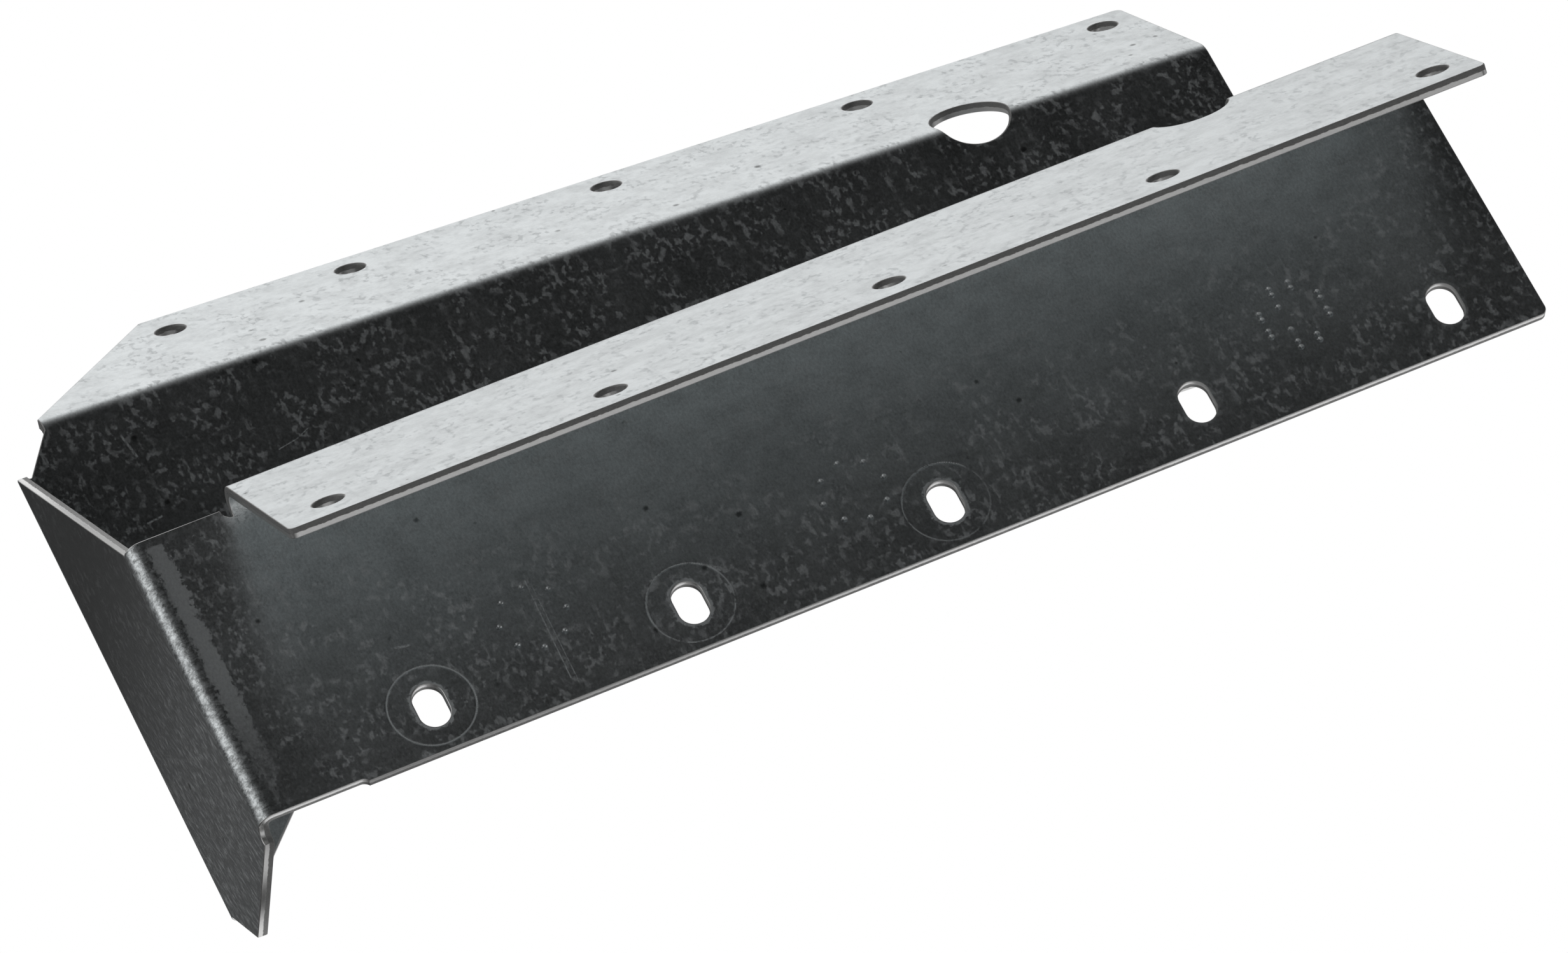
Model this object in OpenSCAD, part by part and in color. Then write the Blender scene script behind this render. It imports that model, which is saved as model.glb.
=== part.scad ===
// Skewed joist hanger, folded from one piece of galvanised sheet.
// The header runs along X, the joist leaves it towards +Y turned by the skew angle towards +X, and Z is up.
// The origin is the middle of the seat's top face.

/* [Joist pocket] */
// Clear width between the side walls at the seat
pocket_w = 39.7; // [30:0.1:60]
// Height of the hanger above the seat's underside
height = 206.4; // [140:0.1:280]
// Angle between the joist and the square line off the header
skew = 45; // [35:1:50]
// How far each side wall leans open before a joist is nailed in
wall_open = 3.1; // [0:0.1:6]

/* [Sheet] */
// Thickness of the sheet
sheet_t = 1.6; // [1.2:0.1:2.4]
// Inside radius of the two folds beside the seat
seat_fold_r = 0.8; // [0.4:0.1:2]
// Inside radius of the folds between walls and flanges
flange_fold_r = 2.3; // [1.2:0.1:3.2]
// How far each flange fold stays open of its full angle
flange_open = 2.4; // [0:0.1:4]

/* [Seat] */
// Distance from the header face to the seat's near edge
seat_setback = 5.6; // [3:0.1:10]
// Length along the joist from the header face to the seat's square end
seat_len = 77.6; // [72:0.1:100]
// Reach off the header where the seat's pointed corner is cut parallel to it
seat_reach = 62.2; // [56:0.1:66]

/* [Side walls] */
// Length of each wall along the joist, from the header face
wall_len = 56.1; // [50:0.1:70]
// Height where the acute side's flange and full wall length start
foot_z = 16.5; // [10:0.1:30]
// How far the acute side's fold stops short of the seat's square end
tab_setback = 2.3; // [1.5:0.1:5]
// Radius of the small round reliefs where folds end
relief_r = 1.5; // [0.8:0.1:2.2]

/* [Flanges] */
// Width of the acute side's flange from the outside of its fold
acute_flange_w = 37.8; // [32:0.1:50]
// Width of the obtuse side's flange from the corner where wall and header face cross
obtuse_flange_w = 31.1; // [26:0.1:45]
// Height where the obtuse side's flange fold starts
obtuse_foot_z = 7.5; // [5:0.1:12]
// Slope of the obtuse flange's lower edge
obtuse_foot_slope = 43; // [20:1:50]
// Corner radius of the flanges' and walls' free corners
corner_r = 1.2; // [0.4:0.1:3]

/* [Header nail holes] */
// Diameter of the header nail holes
nail_d = 4.6; // [3.5:0.1:6]
// Spacing of the header nail holes
nail_pitch = 44; // [30:0.5:50]
// Distance of the top nail holes below the top edge
nail_top = 5.9; // [5:0.1:12]
// Distance of the acute nail holes from the flange's free edge
acute_nail_edge = 7; // [5:0.1:12]
// Distance of the obtuse nail holes from the flange's free edge
obtuse_nail_edge = 6.1; // [5:0.1:12]
// Spacing between the obtuse side's lowest nail hole and the one above it
obtuse_low_pitch = 31; // [15:0.5:32]
// How much further in from the edge the obtuse side's lowest nail hole sits
obtuse_low_shift = 1.7; // [0:0.1:5]

/* [Joist nail slots] */
// Width of the joist nail slots
slot_w = 4.7; // [3.5:0.1:6]
// Length of the joist nail slots, along the joist
slot_len = 7; // [6:0.1:10]
// Spacing of the joist nail slots
slot_pitch = 40.8; // [30:0.1:44]
// Distance of the top slots below the top edge
slot_top = 13.3; // [6:0.1:20]
// Distance of the slots' centres from the wall's free edge
slot_edge = 7.5; // [6:0.1:15]

/* [Fold holes] */
// Diameter of the large hole punched across each flange fold
fold_hole_d = 12.4; // [8:0.1:14]
// Distance of the acute fold hole below the top edge
acute_fold_hole_top = 34.4; // [20:0.1:60]
// Distance of the obtuse fold hole below the top edge
obtuse_fold_hole_top = 40.6; // [20:0.1:60]
// Distance of the acute fold hole's centre from the flange's flat, into the fold
acute_fold_hole_in = 1.8; // [0:0.1:3]
// Distance of the obtuse fold hole's centre from the fold, onto the flange's flat
obtuse_fold_hole_out = 1.1; // [0:0.1:3]

/* [Hidden] */
$fn = 64;

// The two sides, named after the angle between header and joist there
ACUTE = 1;
OBTUSE = -1;
NAILS = 5;
SLOTS = 5;
// Middle line of a fold, as a share of the sheet's thickness from its inside
NEUTRAL = 0.4;
// Overrun of the cutting solids
OVER = 1;
// How much a fold's faces and ends lie inside those of the flats it joins, as the press thins the sheet there
EASE = 0.02;
// How far a fold runs on into the flats it joins
LAP = 0.01;

seat_out_r = seat_fold_r + sheet_t;
flange_out_r = flange_fold_r + sheet_t;
// Half width of the seat's flat, which ends where the seat folds start
flat_half_w = pocket_w / 2 - seat_fold_r;

// The sheet is drawn in the joist's frame: x across the joist towards the acute side, y along it, and z up
// from the seat's underside. A wall's outline has the same y along the joist as its x.

// Distance along the joist to the point that lies w across it and off the header by y
function s_at(w, y) = (y + w * sin(skew)) / cos(skew);
// Angle between flange and wall, seen from above
function corner_angle(side) = 90 - side * skew;
// Distance from the line where wall and header face cross to where the flange fold starts
function tangent(side) = flange_out_r / tan(corner_angle(side) / 2);
// Angle that the sheet turns through in a flange fold
function turn(side) = 180 - corner_angle(side) - flange_open;
// Length of a flange fold on its middle line
function fold_len(side) = (flange_fold_r + NEUTRAL * sheet_t) * turn(side) * PI / 180;
// Distance along the joist to the line where a wall's inner face crosses the header face
function corner_s(side) = s_at(side * pocket_w / 2, 0);
// Distances along the joist to where a wall's flat starts and ends
function wall_near(side) = corner_s(side) + tangent(side);
function wall_far(side) = corner_s(side) + wall_len;
// Distances along the joist to the ends of a seat fold
function tab_near(side) = s_at(side * flat_half_w, seat_setback);
function tab_far(side) = side == ACUTE ? seat_len - tab_setback : s_at(-flat_half_w, seat_reach);
// Lowest point of a flange fold
function foot(side) = side == ACUTE ? foot_z : obtuse_foot_z;
// Width of a flange's flat
function flat_w(side) = side == ACUTE ? acute_flange_w - flange_out_r : obtuse_flange_w - tangent(OBTUSE);

// Middle of the seat on its centre line
seat_mid = (s_at(0, seat_setback) + seat_len) / 2;

// What rounding takes off the outside corner at p, which points towards +x and towards sy
module corner_scrap(p, sy)
  translate([p.x - corner_r, p.y - sy * corner_r])
    difference() {
      translate([0, sy > 0 ? 0 : -corner_r - OVER]) square(corner_r + OVER);
      circle(corner_r);
    }

// A row of count copies going down from the top
module down_row(x, top, pitch, count)
  for (i = [0 : count - 1]) translate([x, top - i * pitch]) children();

// ---- Seat ----

module seat()
  linear_extrude(sheet_t)
    difference() {
      intersection() {
        polygon([
          [-flat_half_w, s_at(-flat_half_w, seat_setback)],
          [flat_half_w, s_at(flat_half_w, seat_setback)],
          [flat_half_w, s_at(flat_half_w, seat_reach)],
          [-flat_half_w, s_at(-flat_half_w, seat_reach)]
        ]);
        translate([-flat_half_w, -seat_len]) square([2 * flat_half_w, 2 * seat_len]);
      }
      translate([flat_half_w, tab_far(ACUTE) + relief_r]) circle(relief_r);
    }

// A seat fold, seen along the joist: x across it from the fold's centre, y up
module seat_fold_section() {
  big = 2 * seat_out_r;
  difference() {
    circle(seat_out_r - EASE);
    circle(seat_fold_r + EASE);
    translate([-big - LAP, -big]) square([big, 2 * big]);
    rotate(-wall_open) translate([-big, LAP]) square(2 * big);
  }
}

module seat_fold(side)
  intersection() {
    translate([side * flat_half_w, 0, seat_out_r])
      rotate([90, 0, 0]) mirror([side == ACUTE ? 0 : 1, 0, 0])
        linear_extrude(4 * seat_len, center = true) seat_fold_section();
    on_wall(side, -pocket_w / 2, pocket_w / 2)
      polygon([
        [tab_near(side) + EASE, -OVER],
        [tab_far(side) - EASE, -OVER],
        [tab_far(side) - EASE, 2 * seat_out_r],
        [tab_near(side) + EASE, 2 * seat_out_r]
      ]);
  }

// ---- Walls ----

module slot()
  for (k = [-1, 0, 1])
    if (k == 0) square([slot_len - slot_w, slot_w], center = true);
    else translate([k * (slot_len - slot_w) / 2, 0]) circle(d = slot_w);

module acute_wall_outline() {
  step_z = foot_z - relief_r / 2;
  difference() {
    polygon([
      [tab_near(ACUTE), seat_out_r],
      [tab_far(ACUTE), seat_out_r],
      [tab_far(ACUTE), step_z],
      [wall_far(ACUTE), step_z],
      [wall_far(ACUTE), height],
      [wall_near(ACUTE), height],
      [wall_near(ACUTE), foot_z],
      [tab_near(ACUTE), foot_z]
    ]);
    translate([tab_near(ACUTE), foot_z]) circle(relief_r);
    translate([tab_far(ACUTE) + relief_r, step_z]) circle(relief_r);
  }
}

module obtuse_wall_outline()
  polygon([
    [tab_near(OBTUSE), seat_out_r],
    [tab_far(OBTUSE), seat_out_r],
    [wall_far(OBTUSE), seat_out_r + (tab_far(OBTUSE) - wall_far(OBTUSE)) / tan(skew)],
    [wall_far(OBTUSE), height],
    [wall_near(OBTUSE), height],
    [wall_near(OBTUSE), obtuse_foot_z]
  ]);

module wall_outline(side)
  difference() {
    if (side == ACUTE) acute_wall_outline();
    else obtuse_wall_outline();
    corner_scrap([wall_far(side), height], 1);
    down_row(wall_far(side) - slot_edge, height - slot_top, slot_pitch, SLOTS) slot();
  }

// Puts an outline up on a side, as a solid from lo to hi across the joist, counted from the inner face
module on_wall(side, lo, hi)
  translate([side * pocket_w / 2, 0, 0])
    rotate([90, 0, 90])
      translate([0, 0, lo]) linear_extrude(hi - lo) children();

// ---- Flanges: outlines drawn with x from the fold to the free edge, and y up ----

module acute_flange_outline()
  difference() {
    translate([0, foot_z]) square([flat_w(ACUTE), height - foot_z]);
    down_row(flat_w(ACUTE) - acute_nail_edge, height - nail_top, nail_pitch, NAILS) circle(d = nail_d);
    corner_scrap([flat_w(ACUTE), foot_z], -1);
  }

module obtuse_flange_outline() {
  nail_x = flat_w(OBTUSE) - obtuse_nail_edge;
  last_z = height - nail_top - (NAILS - 2) * nail_pitch;
  difference() {
    polygon([
      [0, obtuse_foot_z],
      [flat_w(OBTUSE), obtuse_foot_z + flat_w(OBTUSE) * tan(obtuse_foot_slope)],
      [flat_w(OBTUSE), height],
      [0, height]
    ]);
    down_row(nail_x, height - nail_top, nail_pitch, NAILS - 1) circle(d = nail_d);
    translate([nail_x - obtuse_low_shift, last_z - obtuse_low_pitch]) circle(d = nail_d);
  }
}

module flange_outline(side)
  difference() {
    if (side == ACUTE) acute_flange_outline();
    else obtuse_flange_outline();
    corner_scrap([flat_w(side), height], 1);
  }

// Places what is drawn round a flange fold's centre line, with x across the joist
module at_fold(side)
  translate([side * (pocket_w / 2 + flange_out_r), wall_near(side), 0]) children();

// Turns what is drawn round a flange fold's centre line, so that x runs out along the flange
module along_flange(side)
  rotate(skew - side * flange_open) mirror([side == ACUTE ? 0 : 1, 0, 0]) children();

// Puts an outline up on the flange, as a solid from lo to hi behind its header face
module on_flange(side, lo, hi)
  at_fold(side) along_flange(side)
    rotate([90, 0, 0])
      translate([0, 0, flange_out_r - hi]) linear_extrude(hi - lo) children();

module flange_fold(side) {
  big = 2 * flange_out_r;
  at_fold(side) translate([0, 0, foot(side) + EASE])
    linear_extrude(height - foot(side) - 2 * EASE)
      difference() {
        circle(flange_out_r - EASE);
        circle(flange_fold_r + EASE);
        translate([-big, LAP]) square(2 * big);
        along_flange(side) translate([LAP, -big]) square(2 * big);
      }
}

// The large hole, punched across the fold before it was folded: round on the flange and on the wall
module fold_hole(side) {
  z = height - (side == ACUTE ? acute_fold_hole_top : obtuse_fold_hole_top);
  x = side == ACUTE ? -acute_fold_hole_in : obtuse_fold_hole_out;
  on_flange(side, -OVER, side == ACUTE ? tangent(side) * cos(skew) : sheet_t + OVER)
    translate([x, z]) circle(d = fold_hole_d);
  on_wall(side, side == ACUTE ? -sheet_t / 2 : -sheet_t - OVER, side == ACUTE ? sheet_t + OVER : OVER)
    translate([wall_near(side) - fold_len(side) - x, z]) circle(d = fold_hole_d);
}

// ---- The hanger ----

// Leans a side outward about its seat fold
module lean(side) {
  pivot = [side * flat_half_w, 0, seat_out_r];
  translate(pivot) rotate([0, side * wall_open, 0]) translate(-pivot) children();
}

module side_sheet(side)
  lean(side)
    difference() {
      union() {
        on_wall(side, min(0, side * sheet_t), max(0, side * sheet_t)) wall_outline(side);
        flange_fold(side);
        on_flange(side, 0, sheet_t) flange_outline(side);
      }
      fold_hole(side);
    }

module joist_hanger()
  color([0.66, 0.69, 0.70])
    rotate(-skew) translate([0, -seat_mid, -sheet_t]) {
      seat();
      for (side = [ACUTE, OBTUSE]) {
        seat_fold(side);
        side_sheet(side);
      }
    }

joist_hanger();
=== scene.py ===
"""Skewed joist hanger: the folded sheet as one detailed mesh, its galvanised finish, and the studio.

The sheet is drawn flat, as it was before folding, and every point is then carried through the folds.
Blank coordinates are in millimetres: s runs along the joist, v across it, through the seat and up a wall,
positive towards the acute side. t is the depth through the sheet, from -T/2 on the face that meets joist
and header to +T/2 on the other one.
"""

import math

import bpy
import numpy as np
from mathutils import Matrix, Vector
from mathutils.geometry import delaunay_2d_cdt


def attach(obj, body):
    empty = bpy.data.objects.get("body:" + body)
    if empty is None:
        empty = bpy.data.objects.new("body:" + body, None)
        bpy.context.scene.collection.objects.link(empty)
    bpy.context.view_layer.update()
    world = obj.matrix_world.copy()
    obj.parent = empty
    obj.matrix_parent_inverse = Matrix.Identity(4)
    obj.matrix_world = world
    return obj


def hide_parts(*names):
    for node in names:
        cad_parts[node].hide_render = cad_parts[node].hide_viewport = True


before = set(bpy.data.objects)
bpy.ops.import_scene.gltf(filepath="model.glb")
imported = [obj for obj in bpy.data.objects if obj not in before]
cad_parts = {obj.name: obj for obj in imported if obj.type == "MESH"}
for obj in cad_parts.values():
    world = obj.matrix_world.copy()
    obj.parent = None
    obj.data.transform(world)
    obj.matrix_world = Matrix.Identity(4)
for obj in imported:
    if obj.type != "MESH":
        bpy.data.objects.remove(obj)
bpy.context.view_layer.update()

# ---- Sizes, as in part.scad, in millimetres and degrees ----

POCKET_W, HEIGHT, SKEW, WALL_OPEN = 39.7, 206.4, 45.0, 3.1
T, SEAT_R, FLANGE_R, FLANGE_OPEN = 1.6, 0.8, 2.3, 2.4
SEAT_SETBACK, SEAT_LEN, SEAT_REACH = 5.6, 77.6, 62.2
WALL_LEN, FOOT_Z, TAB_SETBACK, RELIEF_R = 56.1, 16.5, 2.3, 1.5
ACUTE_FLANGE_W, OBTUSE_FLANGE_W = 37.8, 31.1
OBTUSE_FOOT_Z, OBTUSE_SLOPE, CORNER_R = 7.5, 43.0, 1.2
NAIL_D, NAIL_PITCH, NAIL_TOP, ACUTE_NAIL_EDGE, OBTUSE_NAIL_EDGE = 4.6, 44.0, 5.9, 7.0, 6.1
OBTUSE_LOW_PITCH, OBTUSE_LOW_SHIFT = 31.0, 1.7
SLOT_W, SLOT_LEN, SLOT_PITCH, SLOT_TOP, SLOT_EDGE = 4.7, 7.0, 40.8, 13.3, 7.5
HOLE_D, ACUTE_HOLE_TOP, OBTUSE_HOLE_TOP, ACUTE_HOLE_IN, OBTUSE_HOLE_OUT = 12.4, 34.4, 40.6, 1.8, 1.1
# Where a flange fold keeps the blank's length: this share of the thickness from its inside
NEUTRAL = 0.4
ACUTE, OBTUSE = 1, -1
# Nail holes in each flange, and slots in each wall
ROWS = 5

HALF_T = T / 2
SEAT_OUT_R = SEAT_R + T
SEAT_MID_R = SEAT_R + HALF_T
FLANGE_OUT_R = FLANGE_R + T
FLANGE_MID_R = FLANGE_R + HALF_T
FLAT_HALF_W = POCKET_W / 2 - SEAT_R
SEAT_TURN = math.radians(90 - WALL_OPEN)
SEAT_FOLD = SEAT_MID_R * SEAT_TURN
SKEW_RAD = math.radians(SKEW)
# What v is more than z on a wall
RISE = FLAT_HALF_W + SEAT_FOLD - SEAT_OUT_R


def s_at(w, y):
    return (y + w * math.sin(SKEW_RAD)) / math.cos(SKEW_RAD)


def corner_angle(side):
    return 90 - side * SKEW


def tangent(side):
    return FLANGE_OUT_R / math.tan(math.radians(corner_angle(side) / 2))


def turn(side):
    return math.radians(180 - corner_angle(side) - FLANGE_OPEN)


def fold_len(side):
    return (FLANGE_R + NEUTRAL * T) * turn(side)


def corner_s(side):
    return s_at(side * POCKET_W / 2, 0)


def wall_near(side):
    return corner_s(side) + tangent(side)


def wall_far(side):
    return corner_s(side) + WALL_LEN


def tab_near(side):
    return s_at(side * FLAT_HALF_W, SEAT_SETBACK)


def tab_far(side):
    return SEAT_LEN - TAB_SETBACK if side == ACUTE else s_at(-FLAT_HALF_W, SEAT_REACH)


def flat_w(side):
    return ACUTE_FLANGE_W - FLANGE_OUT_R if side == ACUTE else OBTUSE_FLANGE_W - tangent(OBTUSE)


def flange_s(side, x):
    """s of the point on the flange's flat that lies x beyond the fold."""
    return wall_near(side) - fold_len(side) - x


SEAT_MID = (s_at(0, SEAT_SETBACK) + SEAT_LEN) / 2

# ---- The blank's outline and holes ----

# How far the sheared outline and the holes' rims round over, on the inner and on the outer face
OUTLINE_ROLL, NAIL_ROLL, SLOT_ROLL, HOLE_ROLL = (0.16, 0.16), (0.32, 0.32), (0.12, 0.18), (0.24, 0.14)
# Rounding of the corners that part.scad leaves sharp
SMALL_R = 0.35
# About how long the sides of a rounded corner are
CORNER_STEP = 0.12


def arc(cx, cy, r, a0, a1, n):
    a = np.radians(np.linspace(a0, a1, n))
    return [(cx + r * math.cos(k), cy + r * math.sin(k)) for k in a]


def rounded(points):
    """The closed line through (s, v, radius) points, with an arc at each that has a radius."""
    out = []
    n = len(points)
    for i, (x, y, r) in enumerate(points):
        p = np.array((x, y))
        if not r:
            out.append((x, y))
            continue
        a = np.array(points[i - 1][:2]) - p
        b = np.array(points[(i + 1) % n][:2]) - p
        a /= np.linalg.norm(a)
        b /= np.linalg.norm(b)
        half = math.acos(max(-1.0, min(1.0, float(a @ b)))) / 2
        c = p + (a + b) / np.linalg.norm(a + b) * (r / math.sin(half))
        start, end = p + a * r / math.tan(half), p + b * r / math.tan(half)
        a0 = math.atan2(*(start - c)[::-1])
        sweep = (math.atan2(*(end - c)[::-1]) - a0 + math.pi) % (2 * math.pi) - math.pi
        steps = max(4, round(abs(sweep) * r / CORNER_STEP))
        for k in range(steps + 1):
            at = a0 + sweep * k / steps
            out.append((c[0] + r * math.cos(at), c[1] + r * math.sin(at)))
    return out


def outline():
    """The blank's outline, from the obtuse flange's top corner round by the free end to the acute side."""
    far, near = wall_far, wall_near
    step_z = FOOT_Z - RELIEF_R / 2
    relief_s = tab_far(ACUTE) + RELIEF_R
    seat_cut = relief_s - SEAT_LEN
    wall_cut = relief_s - far(ACUTE)
    a_seat = -math.degrees(math.acos(-seat_cut / RELIEF_R))
    a_wall = math.degrees(math.acos(-wall_cut / RELIEF_R))
    flange_foot = OBTUSE_FOOT_Z + flat_w(OBTUSE) * math.tan(math.radians(OBTUSE_SLOPE))
    corner_w = s_at(0, SEAT_REACH) - SEAT_LEN
    cut_z = SEAT_OUT_R + (tab_far(OBTUSE) - far(OBTUSE)) / math.tan(SKEW_RAD)
    pts = [
        (flange_s(OBTUSE, flat_w(OBTUSE)), -(RISE + HEIGHT), CORNER_R),
        (far(OBTUSE), -(RISE + HEIGHT), CORNER_R),
        (far(OBTUSE), -(RISE + cut_z), SMALL_R),
        (tab_far(OBTUSE), -(RISE + SEAT_OUT_R), SMALL_R),
        (tab_far(OBTUSE), -FLAT_HALF_W, 0),
        (s_at(-FLAT_HALF_W, SEAT_REACH) + FLAT_HALF_W - corner_w, -corner_w, SMALL_R),
    ]
    pts += [(x, y, 0) for x, y in arc(relief_s, FLAT_HALF_W, RELIEF_R, a_seat, -180, 12)]
    pts += [(tab_far(ACUTE), RISE + SEAT_OUT_R, 0)]
    pts += [(x, y, 0) for x, y in arc(relief_s, RISE + step_z, RELIEF_R, 180, a_wall, 10)]
    pts += [
        (far(ACUTE), RISE + HEIGHT, CORNER_R),
        (flange_s(ACUTE, flat_w(ACUTE)), RISE + HEIGHT, CORNER_R),
        (flange_s(ACUTE, flat_w(ACUTE)), RISE + FOOT_Z, CORNER_R),
    ]
    pts += [(x, y, 0) for x, y in arc(tab_near(ACUTE), RISE + FOOT_Z, RELIEF_R, 0, -90, 12)]
    pts += [
        (tab_near(ACUTE), RISE + SEAT_OUT_R, 0),
        (tab_near(ACUTE), FLAT_HALF_W, 0),
        (tab_near(OBTUSE), -FLAT_HALF_W, 0),
        (tab_near(OBTUSE), -(RISE + SEAT_OUT_R), SMALL_R),
        (near(OBTUSE), -(RISE + OBTUSE_FOOT_Z), 0),
        (flange_s(OBTUSE, 0), -(RISE + OBTUSE_FOOT_Z), 0),
        (flange_s(OBTUSE, flat_w(OBTUSE)), -(RISE + flange_foot), SMALL_R),
    ]
    return rounded(pts)


def round_hole(s, z, side, d, n):
    return arc(s, side * (RISE + z), d / 2, 360, 360 / n, n)


def slot_hole(s, z, side):
    reach = (SLOT_LEN - SLOT_W) / 2
    v = side * (RISE + z)
    return arc(s + reach, v, SLOT_W / 2, 90, -90, 24) + arc(s - reach, v, SLOT_W / 2, -90, -270, 24)


def holes():
    """(loop, roundover on the inner face, roundover on the outer face) of each hole."""
    out = []
    for side in (ACUTE, OBTUSE):
        edge = ACUTE_NAIL_EDGE if side == ACUTE else OBTUSE_NAIL_EDGE
        nail_s = flange_s(side, flat_w(side) - edge)
        slot_s = wall_far(side) - SLOT_EDGE
        for i in range(ROWS):
            z, at = HEIGHT - NAIL_TOP - i * NAIL_PITCH, nail_s
            if side == OBTUSE and i == ROWS - 1:
                z = HEIGHT - NAIL_TOP - (i - 1) * NAIL_PITCH - OBTUSE_LOW_PITCH
                at += OBTUSE_LOW_SHIFT
            out.append((round_hole(at, z, side, NAIL_D, 48), *NAIL_ROLL))
            out.append((slot_hole(slot_s, HEIGHT - SLOT_TOP - i * SLOT_PITCH, side), *SLOT_ROLL))
        top = ACUTE_HOLE_TOP if side == ACUTE else OBTUSE_HOLE_TOP
        x = -ACUTE_HOLE_IN if side == ACUTE else OBTUSE_HOLE_OUT
        out.append((round_hole(flange_s(side, x), HEIGHT - top, side, HOLE_D, 96), *HOLE_ROLL))
    return out


# ---- The folds ----

# Step along the blank over which slopes are taken
STEP = 0.02


def unit(rows):
    return rows / np.linalg.norm(rows, axis=1)[:, None]


def smooth(a, b, x):
    k = np.clip((x - a) / (b - a), 0, 1)
    return k * k * (3 - 2 * k)


def folded(s, v, t):
    """Where the blank's points s, v at depth t lie on the folded part, in the row frame, in metres."""
    s, v, t = (np.asarray(a, float) for a in np.broadcast_arrays(s, v, t))
    side = np.where(v >= 0, 1.0, -1.0)
    b = np.abs(v) - FLAT_HALF_W
    phi = np.clip(b / SEAT_MID_R, 0, SEAT_TURN)
    w = np.where(b < 0, np.abs(v), FLAT_HALF_W + (SEAT_MID_R + t) * np.sin(phi))
    z = SEAT_OUT_R - (SEAT_MID_R + t) * np.cos(phi)
    y = s.copy()
    up = np.maximum(b - SEAT_FOLD, 0)
    for which in (ACUTE, OBTUSE):
        mine = (side == which) & (b > SEAT_FOLD)
        g = np.maximum(wall_near(which) - s, 0)
        bent = np.minimum(g, fold_len(which))
        k = smooth(FOOT_Z - RELIEF_R, FOOT_Z, SEAT_OUT_R + up) if which == ACUTE else 1.0
        k = np.where((g > RELIEF_R) & (SEAT_OUT_R + up > FOOT_Z - RELIEF_R), 1.0, k)
        theta = bent / (FLANGE_R + NEUTRAL * T) * k
        flat = g - bent
        r = FLANGE_MID_R - t
        fold_w = POCKET_W / 2 + FLANGE_OUT_R - r * np.cos(theta) + flat * np.sin(theta)
        fold_y = wall_near(which) - r * np.sin(theta) - flat * np.cos(theta)
        plain = (1 - k) * bent
        w = np.where(mine, fold_w, w)
        y = np.where(mine & (g > 0), fold_y - plain, y)
        z = np.where(mine, SEAT_OUT_R + up, z)
    # The side leans out about its seat fold
    lean = math.radians(WALL_OPEN)
    dw, dz = w - FLAT_HALF_W, z - SEAT_OUT_R
    leans = b > SEAT_FOLD
    w = np.where(leans, FLAT_HALF_W + dw * math.cos(lean) + dz * math.sin(lean), w) * side
    z = np.where(leans, SEAT_OUT_R - dw * math.sin(lean) + dz * math.cos(lean), z)
    y = y - SEAT_MID
    c, n = math.cos(SKEW_RAD), math.sin(SKEW_RAD)
    return np.stack([w * c + y * n, -w * n + y * c, z - T], -1) / 1000


# ---- Marks pressed and scribed into the acute wall's outer face ----

DOT_R, DOT_DEPTH = 0.56, 0.26
RING_R, RING_HALF, RING_DEPTH = 6.45, 0.2, 0.08
# Rings of dots: the middle's u, from the header line, and z, the radius, the dots' angles, and where along u
# each dot's pits lie
DOT_RINGS = [
    (41.5, 49.0, 5.1, [-5 + 45 * k for k in range(8)], (0,)),
    (41.5, 100.05, 5.0, [3.5 + 45 * k for k in range(8)], (0,)),
    (41.15, 171.9, 5.05, [90 * k + d for k in range(4) for d in (-18, 18)], (-0.52, 0.52)),
    (41.15, 171.9, 2.6, [-38, -142], (0,)),
]
DOT_AT = [
    (corner_s(ACUTE) + u + du + r * math.cos(math.radians(a)), RISE + z + r * math.sin(math.radians(a)))
    for u, z, r, angles, pits in DOT_RINGS
    for a in angles
    for du in pits
]
# Scribed rings, round the lowest three slots from the bottom up
RING_AT = [(wall_far(ACUTE) - SLOT_EDGE, RISE + HEIGHT - SLOT_TOP - i * SLOT_PITCH) for i in (4, 3, 2)]
# Where each ring is cut in: middle and half width of its arc, in degrees, and the fade at the arc's ends
RING_ARC = [(0, 400), (200, 95), (190, 70)]
ARC_FADE = 25


def mark_depth(s, v):
    """How deep the marks go at the blank's points s, v."""
    depth = np.zeros_like(s)
    for x, y in DOT_AT:
        r = np.hypot(s - x, v - y)
        depth = np.maximum(depth, DOT_DEPTH * (1 - smooth(0.06, DOT_R, r)))
    for (x, y), (mid, half) in zip(RING_AT, RING_ARC):
        r = np.hypot(s - x, v - y)
        a = np.abs((np.degrees(np.arctan2(v - y, s - x)) - mid + 180) % 360 - 180)
        across = 1 - smooth(0.0, RING_HALF, np.abs(r - RING_R))
        depth = np.maximum(depth, RING_DEPTH * across * (1 - smooth(half - ARC_FADE, half, a)))
    return depth


def mark_points():
    """Mesh points that carry the dots and rings, with a row beyond each so that their shading ends there."""
    pts = []
    for x, y in DOT_AT:
        pts.append((x, y))
        for r in (0.14, 0.26, 0.38, 0.48, DOT_R, 0.66):
            pts += arc(x, y, r, 0, 330, 12)
    rows = (-RING_HALF - 0.1, -RING_HALF, -RING_HALF / 2, 0, RING_HALF / 2, RING_HALF, RING_HALF + 0.1)
    for x, y in RING_AT:
        for k, dr in enumerate(rows):
            start = 1.5 * (k % 2)
            pts += arc(x, y, RING_R + dr, start, 357 + start, 120)
    return pts


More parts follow.
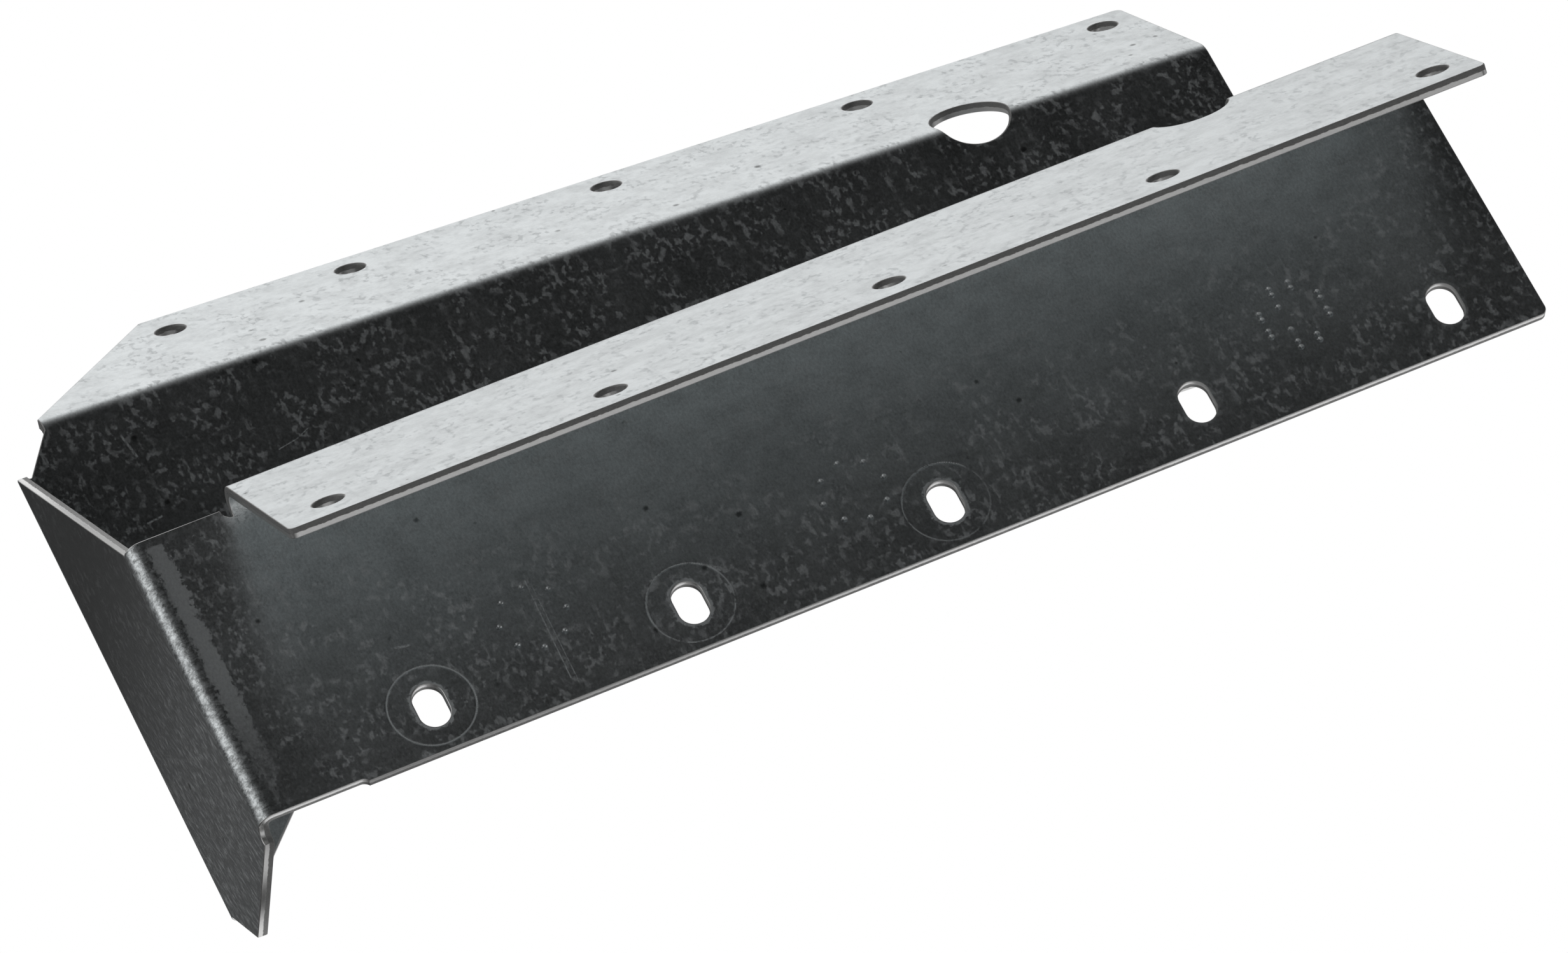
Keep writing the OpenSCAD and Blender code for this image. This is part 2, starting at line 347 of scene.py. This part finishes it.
def tab_points():
    """Points below the acute flange's foot, so that the shading of its fold stays off the flat tab."""
    pts = []
    near, far = tab_near(ACUTE) + 0.45, wall_near(ACUTE) + 2.0
    tab_top = FOOT_Z - RELIEF_R
    for z, step in ((tab_top - 0.06, 0.35), (tab_top - 0.8, 0.8), (10.0, 2.0), (6.0, 2.0), (3.4, 2.0)):
        pts += [(at, RISE + z) for at in np.arange(near, far, step)]
    return pts


# ---- The mesh ----

# Facets round each fold
SEAT_STEPS = 10
FOLD_STEPS = {ACUTE: 30, OBTUSE: 12}


def fold_lines():
    """The lines (axis, value, low, high) that the mesh follows through the folds.

    On each, blank coordinate number axis is value and the other one is between low and high.
    """
    lines = []
    for side in (ACUTE, OBTUSE):
        for k in range(SEAT_STEPS + 1):
            v = side * (FLAT_HALF_W + SEAT_FOLD * k / SEAT_STEPS)
            lines.append((1, v, tab_near(side) - 0.01, tab_far(side) + 0.01))
        foot = RISE + (FOOT_Z if side == ACUTE else OBTUSE_FOOT_Z) - 0.01
        lo, hi = (foot, 1000) if side == ACUTE else (-1000, -foot)
        for k in range(FOLD_STEPS[side] + 1):
            lines.append((0, wall_near(side) - fold_len(side) * k / FOLD_STEPS[side], lo, hi))
    return lines


def split(loop, lines):
    """The loop with a point wherever it meets a fold line, and which line each point is on."""
    pts, tags = [], []
    n = len(loop)
    for i in range(n):
        p, q = np.array(loop[i]), np.array(loop[(i + 1) % n])
        here = [
            j
            for j, (ax, val, lo, hi) in enumerate(lines)
            if abs(p[ax] - val) < 1e-6 and lo <= p[1 - ax] <= hi
        ]
        pts.append(tuple(p))
        tags.append(here)
        cuts = []
        for j, (ax, val, lo, hi) in enumerate(lines):
            da, db = p[ax] - val, q[ax] - val
            if da * db < 0 and min(abs(da), abs(db)) > 1e-6:
                k = da / (da - db)
                m = p + (q - p) * k
                if lo <= m[1 - ax] <= hi:
                    cuts.append((k, j, tuple(m)))
        for k, j, m in sorted(cuts):
            pts.append(m)
            tags.append([j])
    return np.array(pts), tags


def inward(pts):
    """The direction into the material at each point of a loop that has the material on its left.

    It is long enough to keep the distance at corners.
    """
    a, b = pts - np.roll(pts, 1, 0), np.roll(pts, -1, 0) - pts
    na = np.stack([-a[:, 1], a[:, 0]], 1) / np.linalg.norm(a, axis=1)[:, None]
    nb = np.stack([-b[:, 1], b[:, 0]], 1) / np.linalg.norm(b, axis=1)[:, None]
    m = unit(na + nb)
    return m / np.maximum((m * na).sum(1), 0.5)[:, None]


def inside(points, loop):
    """Which of the points lie inside the loop."""
    x, y = points[:, 0:1], points[:, 1:2]
    a, b = loop, np.roll(loop, -1, 0)
    crosses = (a[:, 1] > y) != (b[:, 1] > y)
    with np.errstate(divide="ignore", invalid="ignore"):
        at = a[:, 0] + (y - a[:, 1]) * (b[:, 0] - a[:, 0]) / (b[:, 1] - a[:, 1])
    return (crosses & (x < at)).sum(1) % 2 == 1


def face_triangles(loops, tags, lines, extra, chains):
    """The points of one face, and the triangles over its material.

    The points are those of the loops, then extra, then those of the chains. A chain is a fold line that
    starts inside the sheet.
    """
    pts = np.concatenate(loops)
    edges, on_line = [], {}
    start = 0
    for loop, tag in zip(loops, tags):
        n = len(loop)
        edges += [(start + i, start + (i + 1) % n) for i in range(n)]
        for i, t in enumerate(tag):
            for j in t:
                on_line.setdefault(j, []).append(start + i)
        start += n
    extra = np.array(extra).reshape(-1, 2)
    pts = np.concatenate([pts, extra])
    more = []
    for j, chain in chains.items():
        ids = [len(pts) + len(more) + k for k in range(len(chain))]
        more += chain
        edges += list(zip(ids, ids[1:]))
        on_line[j].append(ids[-1])
    if more:
        pts = np.concatenate([pts, np.array(more)])
    for j, ids in on_line.items():
        ax = lines[j][0]
        ids = sorted(ids, key=lambda i: pts[i][1 - ax])
        edges += [(ids[k], ids[k + 1]) for k in range(0, len(ids) - 1, 2)]
    out, _, tris, orig, _, _ = delaunay_2d_cdt([Vector(p) for p in pts], edges, [], 0, 1e-7, True)
    back = np.array([o[0] if o else -1 for o in orig])
    tris = np.array(tris)
    at = np.array([(p.x, p.y) for p in out])
    mid = at[tris].mean(1)
    keep = inside(mid, loops[0])
    for hole in loops[1:]:
        keep &= ~inside(mid, hole)
    tris = back[tris[keep]]
    assert (tris >= 0).all(), "a fold line crosses something it shouldn't"
    return pts, tris


def turned(cells, points, normals):
    """The triangles or quads, each turned so that it faces as its points' normals do."""
    a, b, c = (points[cells[:, k]] for k in range(3))
    facing = (np.cross(b - a, c - a) * normals[cells].sum(1)).sum(1)
    return np.where(facing[:, None] < 0, cells[:, ::-1], cells)


def build_sheet():
    lines = fold_lines()
    loops = [(outline(), *OUTLINE_ROLL)] + holes()
    base, tags, dirs = [], [], []
    for loop, inner, outer in loops:
        raw = np.array(loop)
        pts, tag = split(raw + inward(raw) * max(inner, outer), lines)
        base.append(pts)
        tags.append(tag)
        dirs.append(inward(pts))
    # Lines of the acute flange fold that start inside the sheet, above the relief
    chains = {}
    for j, (ax, val, lo, _) in enumerate(lines):
        if ax == 0 and lo > 0 and val > tab_near(ACUTE) + RELIEF_R + max(OUTLINE_ROLL):
            chains[j] = [(val, RISE + FOOT_Z - RELIEF_R + 0.375 * k) for k in range(5)]

    verts, normals, flat_uv, depth_uv, tris_all = [], [], [], [], []
    count = 0
    first_of = {}
    for face, t in (("inner", -HALF_T), ("outer", HALF_T)):
        extra = tab_points() + (mark_points() if face == "outer" else [])
        pts, tris = face_triangles(base, tags, lines, extra, chains)
        s, v = pts.T
        depth = mark_depth(s, v) if face == "outer" else np.zeros_like(s)
        p = folded(s, v, t - depth)
        n = unit(folded(s, v, t + STEP) - folded(s, v, t - STEP))
        if face == "outer":
            ds = (mark_depth(s + STEP, v) - mark_depth(s - STEP, v)) / (2 * STEP)
            dv = (mark_depth(s, v + STEP) - mark_depth(s, v - STEP)) / (2 * STEP)
            ts = (folded(s + STEP, v, t) - folded(s - STEP, v, t)) / (2 * STEP) * 1000
            tv = (folded(s, v + STEP, t) - folded(s, v - STEP, t)) / (2 * STEP) * 1000
            n = unit(n + ts * ds[:, None] + tv * dv[:, None])
        else:
            n = -n
        tris = turned(tris, p, n)
        starts = np.cumsum([0] + [len(x) for x in base])
        first_of[face] = starts + count
        verts.append(p)
        normals.append(n)
        tris_all.append(tris + count)
        flat_uv.append(pts)
        depth_uv.append(np.full(len(pts), (t + HALF_T) / T))
        count += len(p)

    # Rows of points round each loop's edge, from the outer face over its rounding to the inner face
    strips = []
    for i, (b, d, loop) in enumerate(zip(base, dirs, loops)):
        n = len(b)
        big = max(loop[1:])
        rows = [first_of["outer"][i] + np.arange(n)]
        for roll, sign, angles in ((loop[2], 1, (0, 30, 60, 90)), (loop[1], -1, (90, 60, 30, 0))):
            for a in map(math.radians, angles):
                if a == 0 and roll == big:
                    continue
                at = b + d * (roll * (1 - math.sin(a)) - big)
                t = sign * (HALF_T - roll * (1 - math.cos(a)))
                s, v = at.T
                face = unit(folded(s, v, t + STEP) - folded(s, v, t - STEP))
                ts = unit(folded(s + STEP, v, t) - folded(s - STEP, v, t))
                tv = unit(folded(s, v + STEP, t) - folded(s, v - STEP, t))
                away = unit(-(ts * d[:, 0:1] + tv * d[:, 1:2]))
                verts.append(folded(s, v, t))
                normals.append(unit(away * math.sin(a) + sign * face * math.cos(a)))
                flat_uv.append(at)
                depth_uv.append(np.full(n, (t + HALF_T) / T))
                rows.append(count + np.arange(n))
                count += n
        rows.append(first_of["inner"][i] + np.arange(n))
        for r0, r1 in zip(rows, rows[1:]):
            strips.append(np.stack([r0, np.roll(r0, -1), np.roll(r1, -1), r1], 1))
    verts, normals = np.concatenate(verts), np.concatenate(normals)
    flat_uv, depth_uv = np.concatenate(flat_uv), np.concatenate(depth_uv)
    strips = turned(np.concatenate(strips), verts, normals)
    tris = np.concatenate(tris_all)

    me = bpy.data.meshes.new("folded_sheet")
    me.from_pydata(verts.tolist(), [], tris.tolist() + strips.tolist())
    slots = np.r_[np.zeros(len(tris), int), np.ones(len(strips), int)]
    me.polygons.foreach_set("material_index", slots)
    me.polygons.foreach_set("use_smooth", np.ones(len(tris) + len(strips), bool))
    corner = np.zeros(len(me.loops), int)
    me.loops.foreach_get("vertex_index", corner)
    blank = me.uv_layers.new(name="blank")
    blank.uv.foreach_set("vector", flat_uv[corner].astype(np.float32).ravel())
    depth = me.uv_layers.new(name="depth")
    both = np.stack([depth_uv[corner], np.zeros(len(corner))], 1)
    depth.uv.foreach_set("vector", both.astype(np.float32).ravel())
    me.normals_split_custom_set_from_vertices(normals.tolist())
    ob = bpy.data.objects.new("folded_sheet", me)
    bpy.context.scene.collection.objects.link(ob)
    print("folded_sheet:", len(verts), "points,", len(tris) + 2 * len(strips), "triangles")
    return ob


# ---- Materials ----


class Nodes:
    """Short names for building a node tree."""

    def __init__(self, tree):
        self.tree = tree

    def new(self, kind, **sockets):
        node = self.tree.nodes.new(kind)
        for name, value in sockets.items():
            self.put(node.inputs[name.replace("_", " ")], value)
        return node

    def put(self, socket, value):
        if isinstance(value, bpy.types.NodeSocket):
            self.tree.links.new(value, socket)
        else:
            socket.default_value = value

    def math(self, op, *values):
        node = self.tree.nodes.new("ShaderNodeMath")
        node.operation = op
        for socket, value in zip(node.inputs, values):
            self.put(socket, value)
        return node.outputs[0]

    def add(self, a, b):
        return self.math("ADD", a, b)

    def sub(self, a, b):
        return self.math("SUBTRACT", a, b)

    def mul(self, a, b):
        return self.math("MULTIPLY", a, b)

    def most(self, a, b):
        return self.math("MAXIMUM", a, b)

    def sway(self, x, pattern, k):
        """x, moved by up to k / 2 either way with a pattern between 0 and 1."""
        return self.add(x, self.mul(self.sub(pattern, 0.5), k))

    def length(self, x, y):
        return self.math("SQRT", self.add(self.mul(x, x), self.mul(y, y)))

    def ramp(self, x, a, b, low=0.0, high=1.0):
        """Smoothly from low at a to high at b."""
        node = self.tree.nodes.new("ShaderNodeMapRange")
        node.interpolation_type = "SMOOTHSTEP"
        names = ("Value", "From Min", "From Max", "To Min", "To Max")
        for name, value in zip(names, (x, a, b, low, high)):
            self.put(node.inputs[name], value)
        return node.outputs[0]

    def mix(self, k, a, b):
        node = self.tree.nodes.new("ShaderNodeMix")
        node.data_type = "FLOAT"
        for i, value in ((0, k), (2, a), (3, b)):
            self.put(node.inputs[i], value)
        return node.outputs[0]

    def mix_color(self, k, a, b):
        node = self.tree.nodes.new("ShaderNodeMix")
        node.data_type = "RGBA"
        for i, value in ((0, k), (6, a), (7, b)):
            self.put(node.inputs[i], value)
        return node.outputs[2]

    def noise(self, at, scale, detail=3.0, rough=0.55):
        node = self.new("ShaderNodeTexNoise", Vector=at, Scale=scale, Detail=detail, Roughness=rough)
        return node.outputs[0]

    def scaled(self, at, x, y, z=1.0):
        node = self.new("ShaderNodeVectorMath", Vector=at)
        node.operation = "MULTIPLY"
        node.inputs[1].default_value = (x, y, z)
        return node.outputs[0]


def new_material(name):
    mat = bpy.data.materials.new(name)
    mat.use_nodes = True
    mat.node_tree.nodes.clear()
    return mat, Nodes(mat.node_tree)


def tinted(n, tone, tint):
    red, green, blue = (n.mul(tone, k) for k in tint)
    return n.new("ShaderNodeCombineColor", Red=red, Green=green, Blue=blue)


def finish(n, color, metal, rough, bump):
    bsdf = n.new(
        "ShaderNodeBsdfPrincipled",
        Base_Color=color.outputs[0],
        Metallic=metal,
        Roughness=rough,
        Normal=bump.outputs[0],
    )
    out = n.new("ShaderNodeOutputMaterial")
    n.tree.links.new(bsdf.outputs[0], out.inputs[0])


# How far apart the sheet's two faces lie in the patterns
FACE_LIFT = 37.0
# Beyond this b the sheet is a wall or flange, clear of the seat fold and its wear
WALL_FROM = 15.0


def blank_coordinates(n):
    """Outputs s, v, depth from 0 to 1, and a pattern vector that differs between the sheet's two faces."""
    uv = n.new("ShaderNodeUVMap")
    uv.uv_map = "blank"
    part = n.new("ShaderNodeSeparateXYZ", Vector=uv.outputs[0])
    duv = n.new("ShaderNodeUVMap")
    duv.uv_map = "depth"
    dpart = n.new("ShaderNodeSeparateXYZ", Vector=duv.outputs[0])
    depth = dpart.outputs[0]
    lift = n.mul(depth, FACE_LIFT)
    at = n.new("ShaderNodeCombineXYZ", X=part.outputs[0], Y=part.outputs[1], Z=lift)
    return part.outputs[0], part.outputs[1], depth, at.outputs[0]


def near_point(n, s, v, x, y, r, soft):
    """1 within r of the blank's point x, y, falling to 0 over soft."""
    dx, dy = n.sub(s, x), n.sub(v, y)
    d = n.length(dx, dy)
    return n.ramp(d, r + soft, r)


def near_segment(n, s, v, p, q, r):
    """1 on the segment from p to q of the blank, 0 from r away."""
    ux, uy = q[0] - p[0], q[1] - p[1]
    length = math.hypot(ux, uy)
    ux, uy = ux / length, uy / length
    dx, dy = n.sub(s, p[0]), n.sub(v, p[1])
    along = n.add(n.mul(dx, ux), n.mul(dy, uy))
    off = n.math("ABSOLUTE", n.sub(n.mul(dx, uy), n.mul(dy, ux)))
    beyond = n.sub(n.math("ABSOLUTE", n.sub(along, length / 2)), length / 2)
    return n.mul(n.ramp(off, r, r * 0.3), n.ramp(beyond, r, 0.0))


# Scratches and small chips: their two ends on the blank, and half width
SCRATCHES_INNER = [
    ((-13.2, -36.9), (-9.0, -37.7), 0.30),
    ((-4.6, -64.0), (-3.4, -61.6), 0.10),
    ((-3.4, -61.6), (-2.6, -58.2), 0.13),
    ((2.0, -37.0), (2.4, -34.6), 0.25),
]
SCRATCHES_OUTER = [
    ((55.5, 69.5), (72.5, 69.0), 0.13),
    ((57.0, 70.1), (73.5, 69.8), 0.09),
    ((63.8, 94.4), (65.2, 96.1), 0.45),
    ((67.8, 95.8), (69.2, 95.9), 0.40),
    ((63.0, 86.0), (62.6, 87.0), 0.35),
    ((75.4, 45.0), (76.0, 45.6), 0.90),
    ((57.9, RISE + 29.0), (58.3, RISE + 31.0), 0.30),
]


def slot_distance(n, s, v):
    """The distance from the nearest joist slot's outline, and s and v from that slot's middle."""
    far = n.mix(n.math("GREATER_THAN", v, 0.0), wall_far(OBTUSE) - SLOT_EDGE, wall_far(ACUTE) - SLOT_EDGE)
    up = n.sub(n.math("ABSOLUTE", v), RISE + HEIGHT - SLOT_TOP)
    dv = n.sub(up, n.mul(n.math("ROUND", n.math("DIVIDE", up, SLOT_PITCH)), SLOT_PITCH))
    ds = n.most(n.sub(n.math("ABSOLUTE", n.sub(s, far)), (SLOT_LEN - SLOT_W) / 2), 0.0)
    r = n.length(ds, dv)
    return n.sub(r, SLOT_W / 2), n.sub(s, far), dv


def galvanised():
    mat, n = new_material("galvanised_sheet")
    s, v, depth, at = blank_coordinates(n)
    b = n.sub(n.math("ABSOLUTE", v), FLAT_HALF_W)
    outer = n.math("GREATER_THAN", depth, 0.5)
    inner = n.sub(1.0, outer)

    # zinc: flakes about a millimetre or two across that scatter more light, clouds, and fine grain
    flakes = n.noise(n.scaled(at, 0.62, 0.80, 1.0), 1.0, 2.0, 0.62)
    clouds = n.noise(at, 0.07, 1.0, 0.5)
    clusters = n.noise(n.scaled(at, 0.17, 0.13, 1.0), 1.0, 2.0, 0.6)
    specks = n.mul(n.ramp(flakes, 0.50, 0.62), n.ramp(clusters, 0.40, 0.60, 0.15, 1.0))
    mottle = n.noise(n.scaled(at, 0.22, 0.15, 1.0), 1.0, 5.0, 0.78)
    # 1 on the flanges
    flange_at = n.mix(n.math("GREATER_THAN", v, 0.0), flange_s(OBTUSE, 0), flange_s(ACUTE, 0))
    on_flange = n.mul(n.ramp(n.sub(s, flange_at), 1.0, -1.0), n.ramp(b, 6.0, 8.0))
    fine = n.noise(n.scaled(at, 1.8, 2.6, 1.0), 1.0, 3.0, 0.8)
    grime = n.ramp(mottle, 0.58, 0.74)
    # a few dark pin spots
    spot = n.new("ShaderNodeTexVoronoi", Vector=at, Scale=0.17, Randomness=1.0)
    spot_size = n.mul(n.new("ShaderNodeSeparateColor", Color=spot.outputs["Color"]).outputs[0], 0.11)
    spots = n.ramp(n.sub(n.add(spot.outputs["Distance"], n.mul(fine, 0.06)), spot_size), 0.05, -0.03)

    # the seat's folds, burnished by the press, and the worn band beside them
    grain = n.noise(n.scaled(at, 1.3, 1.0, 1.0), 1.5, 3.0, 0.75)
    edge_noise = n.noise(n.scaled(at, 0.55, 0.80, 1.0), 1.0, 4.0, 0.80)
    fold = n.mul(n.ramp(b, -0.5, 0.5), n.ramp(n.add(b, n.mul(grain, 1.6)), 4.6, 2.6))
    fold = n.mul(fold, outer)
    worn_at = n.sway(b, edge_noise, 3.0)
    worn_at = n.sway(worn_at, grain, 2.6)
    worn = n.mul(n.ramp(worn_at, 2.5, 3.1), n.ramp(worn_at, 5.8, 5.5))
    worn = n.mul(worn, n.ramp(n.add(s, n.mul(edge_noise, 14.0)), 84.0, 58.0))
    worn = n.mul(n.mul(worn, outer), n.ramp(s, 28.3, 28.7))
    # the seat's underside, which is painted darker towards the header end as shade; the streaks across it
    # are marks
    seat = n.mul(n.ramp(b, 0.2, -0.4), outer)
    streak_at = n.new("ShaderNodeVectorRotate", Vector=at, Angle=math.radians(-22))
    streak_at.rotation_type = "Z_AXIS"
    streak = n.noise(n.scaled(streak_at.outputs[0], 0.35, 1.5, 1.0), 1.0, 4.0, 0.75)
    streaks = n.mul(n.ramp(streak, 0.46, 0.70), n.mix(n.ramp(s, 20.0, 62.0), 0.05, 1.0))
    # the crushed corner where the acute flange's fold starts: its bumps are real crumpling, its near-white
    # tone is a painted highlight
    crush_and_highlight = near_point(n, s, v, tab_near(ACUTE) + 1.4, RISE + FOOT_Z + 0.6, 0.9, 2.2)
    crush_and_highlight = n.mul(crush_and_highlight, n.ramp(grain, 0.35, 0.6))

    # torn zinc round the slots, rings scribed round three of them
    rim, ds, dv = slot_distance(n, s, v)
    ragged = n.sway(rim, grain, 1.8)
    on_wall = n.math("GREATER_THAN", b, WALL_FROM)
    torn = n.mul(n.ramp(ragged, 0.66, 0.42), n.mul(outer, on_wall))
    torn = n.mul(torn, n.ramp(v, RISE + 150.0, RISE + 110.0, 0.2, 1.0))
    ring_r = n.length(ds, dv)
    ring = n.ramp(n.math("ABSOLUTE", n.sub(ring_r, RING_R)), 0.17, 0.05)
    low = n.ramp(v, RISE + 140.0, RISE + 90.0)
    broken = n.ramp(edge_noise, 0.38, 0.52)
    broken = n.most(n.mul(broken, low), n.ramp(v, RISE + 45.0, RISE + 40.0))
    ring = n.mul(n.mul(ring, broken), n.mul(outer, n.math("GREATER_THAN", v, FLAT_HALF_W + WALL_FROM)))
    scratched = None
    for face, marks in ((inner, SCRATCHES_INNER), (outer, SCRATCHES_OUTER)):
        for p, q, r in marks:
            m = n.mul(near_segment(n, s, v, p, q, r), face)
            scratched = m if scratched is None else n.most(scratched, m)
    scratched = n.mul(scratched, n.ramp(fine, 0.3, 0.6))
    bare = n.most(n.most(torn, ring), scratched)

    tone = n.sway(0.66, mottle, 0.60)
    tone = n.sway(tone, clouds, 0.10)
    tone = n.sway(tone, fine, n.mix(on_flange, 0.70, 0.20))
    tone = n.sub(tone, n.mul(grime, 0.10))
    # painted shade: the seat's underside made darker, most towards the header end; its streaks stay lighter
    tone = n.mix(n.mul(seat, 0.85), tone, n.mix(streaks, n.ramp(s, 8.0, 68.0, 0.12, 0.60), 0.90))
    tone = n.mix(fold, tone, n.ramp(grain, 0.34, 0.66, 0.35, 0.95))
    tone = n.mix(worn, tone, n.add(0.50, n.mul(fine, 0.36)))
    # painted highlight: the crushed corner's tone is made near white
    tone = n.mix(crush_and_highlight, tone, 0.95)
    tone = n.mix(bare, tone, 0.85)
    tone = n.mix(spots, tone, 0.22)
    color = tinted(n, tone, (0.955, 1.0, 1.012))

    # how much of the surface is oxide that scatters instead of mirroring
    dull = n.add(0.02, n.mul(specks, n.mix(on_flange, 0.38, 0.12)))
    dull = n.add(dull, n.mul(n.ramp(fine, 0.40, 0.70), 0.12))
    dull = n.add(dull, n.mul(n.mul(streaks, seat), 0.55))
    dull = n.mix(worn, dull, n.add(0.22, n.mul(fine, 0.40)))
    dull = n.mix(bare, dull, 0.5)
    dull = n.mix(crush_and_highlight, dull, 0.5)
    metal = n.sub(1.0, dull)

    rough = n.add(0.27, n.mul(clouds, 0.08))
    rough = n.add(rough, n.mul(specks, 0.12))
    rough = n.mix(worn, rough, 0.50)
    rough = n.mix(fold, rough, 0.38)
    rough = n.mix(seat, rough, 0.30)
    rough = n.mix(bare, rough, 0.55)

    height = n.add(n.mul(fine, 0.12), n.mul(mottle, 0.5))
    height = n.add(height, n.mul(n.mul(streak, seat), 0.4))
    height = n.add(height, n.mul(n.mul(grain, n.most(fold, crush_and_highlight)), 2.2))
    bump = n.new("ShaderNodeBump", Strength=0.6, Distance=0.00006, Height=height)

    finish(n, color, metal, rough, bump)
    return mat


def sheared():
    """The cut edges: a burnished zone beside the outer face, and the grey torn zone beyond it."""
    mat, n = new_material("sheared_edge")
    _, _, depth, at = blank_coordinates(n)
    flat_at = n.scaled(at, 1.0, 1.0, 0.0)
    ragged = n.noise(flat_at, 0.9, 4.0, 0.7)
    line = n.sway(depth, ragged, 0.30)
    burnished = n.ramp(line, 0.47, 0.55)
    grit = n.noise(at, 2.6, 4.0, 0.75)
    lip = n.ramp(depth, 0.04, 0.0)
    tone = n.mix(burnished, n.ramp(grit, 0.3, 0.7, 0.28, 0.54), n.ramp(grit, 0.3, 0.7, 0.78, 0.94))
    tone = n.mix(lip, tone, 0.7)
    color = tinted(n, tone, (0.985, 0.985, 0.975))
    rough = n.mix(burnished, 0.55, 0.30)
    height = n.mul(grit, n.mix(burnished, 1.0, 0.25))
    bump = n.new("ShaderNodeBump", Strength=0.6, Distance=0.00008, Height=height)
    metal = n.mix(burnished, 0.90, 0.88)
    finish(n, color, metal, rough, bump)
    return mat


sheet = build_sheet()
sheet.data.materials.append(galvanised())
sheet.data.materials.append(sheared())
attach(sheet, "root")
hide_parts("joist_hanger")

# ---- Floor ----

# Only its top side shows, so that the part can also be looked at from below
FLOOR_Z = -0.0021
FLOOR_HALF = 8
# Reflections shorter than this see through the floor
NEAR_FLOOR = 0.15
FLOOR_GLOW = 0.68
me = bpy.data.meshes.new("floor")
corners = [(x * FLOOR_HALF, y * FLOOR_HALF, FLOOR_Z) for x, y in ((-1, -1), (1, -1), (1, 1), (-1, 1))]
me.from_pydata(corners, [], [(0, 1, 2, 3)])
floor = bpy.data.objects.new("floor", me)
bpy.context.scene.collection.objects.link(floor)
mat, n = new_material("pale_floor")
path = n.new("ShaderNodeLightPath")
geo = n.new("ShaderNodeNewGeometry")
far = n.math("GREATER_THAN", path.outputs["Ray Length"], NEAR_FLOOR)
seen = n.most(path.outputs["Is Camera Ray"], n.mul(path.outputs["Is Glossy Ray"], far))
seen = n.most(seen, n.mul(path.outputs["Is Transmission Ray"], far))
seen = n.mul(seen, n.sub(1.0, geo.outputs["Backfacing"]))
dust = n.noise(n.new("ShaderNodeTexCoord").outputs["Object"], 6.0)
pale = n.mix_color(dust, (0.80, 0.80, 0.80, 1), (0.84, 0.84, 0.84, 1))
diffuse = n.new("ShaderNodeBsdfDiffuse", Color=pale)
glow_at = n.mul(path.outputs["Is Camera Ray"], FLOOR_GLOW)
glow = n.new("ShaderNodeEmission", Color=(1, 1, 1, 1), Strength=glow_at)
both = n.new("ShaderNodeAddShader")
n.tree.links.new(diffuse.outputs[0], both.inputs[0])
n.tree.links.new(glow.outputs[0], both.inputs[1])
clear = n.new("ShaderNodeBsdfTransparent")
pick = n.new("ShaderNodeMixShader", Fac=seen)
n.tree.links.new(clear.outputs[0], pick.inputs[1])
n.tree.links.new(both.outputs[0], pick.inputs[2])
out = n.new("ShaderNodeOutputMaterial")
n.tree.links.new(pick.outputs[0], out.inputs[0])
me.materials.append(mat)

# ---- Light ----

# Soft lights of the studio: direction in the row frame, and strength. The notes say what mirrors each one
# towards the camera.
LOBES = [
    # the flanges' header faces mirror these two, and touch the third
    ((-0.78, -0.45, 0.43), 0.50),
    ((-0.89, -0.45, 0.0), 0.62),
    ((-0.64, -0.77, 0.07), 0.20),
    # the seat's underside
    ((-0.89, 0.28, -0.36), 0.07),
    # the acute flange's free edge
    ((0.97, 0.17, 0.15), 0.52),
    # low, to the side of the camera, mirrored by nothing large
    ((0.83, 0.44, -0.34), 0.32),
    # the acute wall, by way of the back of its flange
    ((0.50, 0.86, -0.11), 0.04),
    # the walls' free edges
    ((-0.45, 0.85, 0.28), 0.90),
    # the middle of the seat's acute fold, and its side by the wall
    ((-0.18, -0.45, -0.87), 0.95),
    ((0.49, -0.76, -0.43), 0.03),
    # overhead, mirrored by nothing large
    ((0.05, 0.10, 1.0), 0.40),
]
# How far from its middle each light reaches, in degrees
LOBE_WIDTH = 40
# What comes from every direction besides
AMBIENT = 0.004

world = bpy.data.worlds.new("studio")
bpy.context.scene.world = world
world.use_nodes = True
world.node_tree.nodes.clear()
n = Nodes(world.node_tree)
ray = n.new("ShaderNodeTexCoord").outputs["Generated"]
total = AMBIENT
for direction, strength in LOBES:
    dot = n.new("ShaderNodeVectorMath", Vector=ray)
    dot.operation = "DOT_PRODUCT"
    dot.inputs[1].default_value = Vector(direction).normalized()
    soft = n.ramp(dot.outputs["Value"], math.cos(math.radians(LOBE_WIDTH)), 1.0, 0.0, strength)
    total = n.add(soft, total)
path = n.new("ShaderNodeLightPath")
shown = n.mix(path.outputs["Is Camera Ray"], total, 1.0)
back = n.new("ShaderNodeBackground", Color=(1, 1, 1, 1), Strength=shown)
out = n.new("ShaderNodeOutputWorld")
n.tree.links.new(back.outputs[0], out.inputs[0])

# ---- Camera ----

# A long lens, placed by matching the object's corners, holes and edges to the photo
cam = bpy.data.cameras.new("camera")
cam.sensor_width = 36
cam.lens = 208.57
cam.clip_start = 0.05
cam.clip_end = 50
camera = bpy.data.objects.new("camera", cam)
bpy.context.scene.collection.objects.link(camera)
camera.location = (1.22550, -0.40511, -0.28590)
camera.rotation_euler = [math.radians(angle) for angle in (131.0003, -64.2012, 33.6946)]
bpy.context.scene.camera = camera

bpy.context.scene.view_settings.view_transform = "Standard"
bpy.context.view_layer.update()
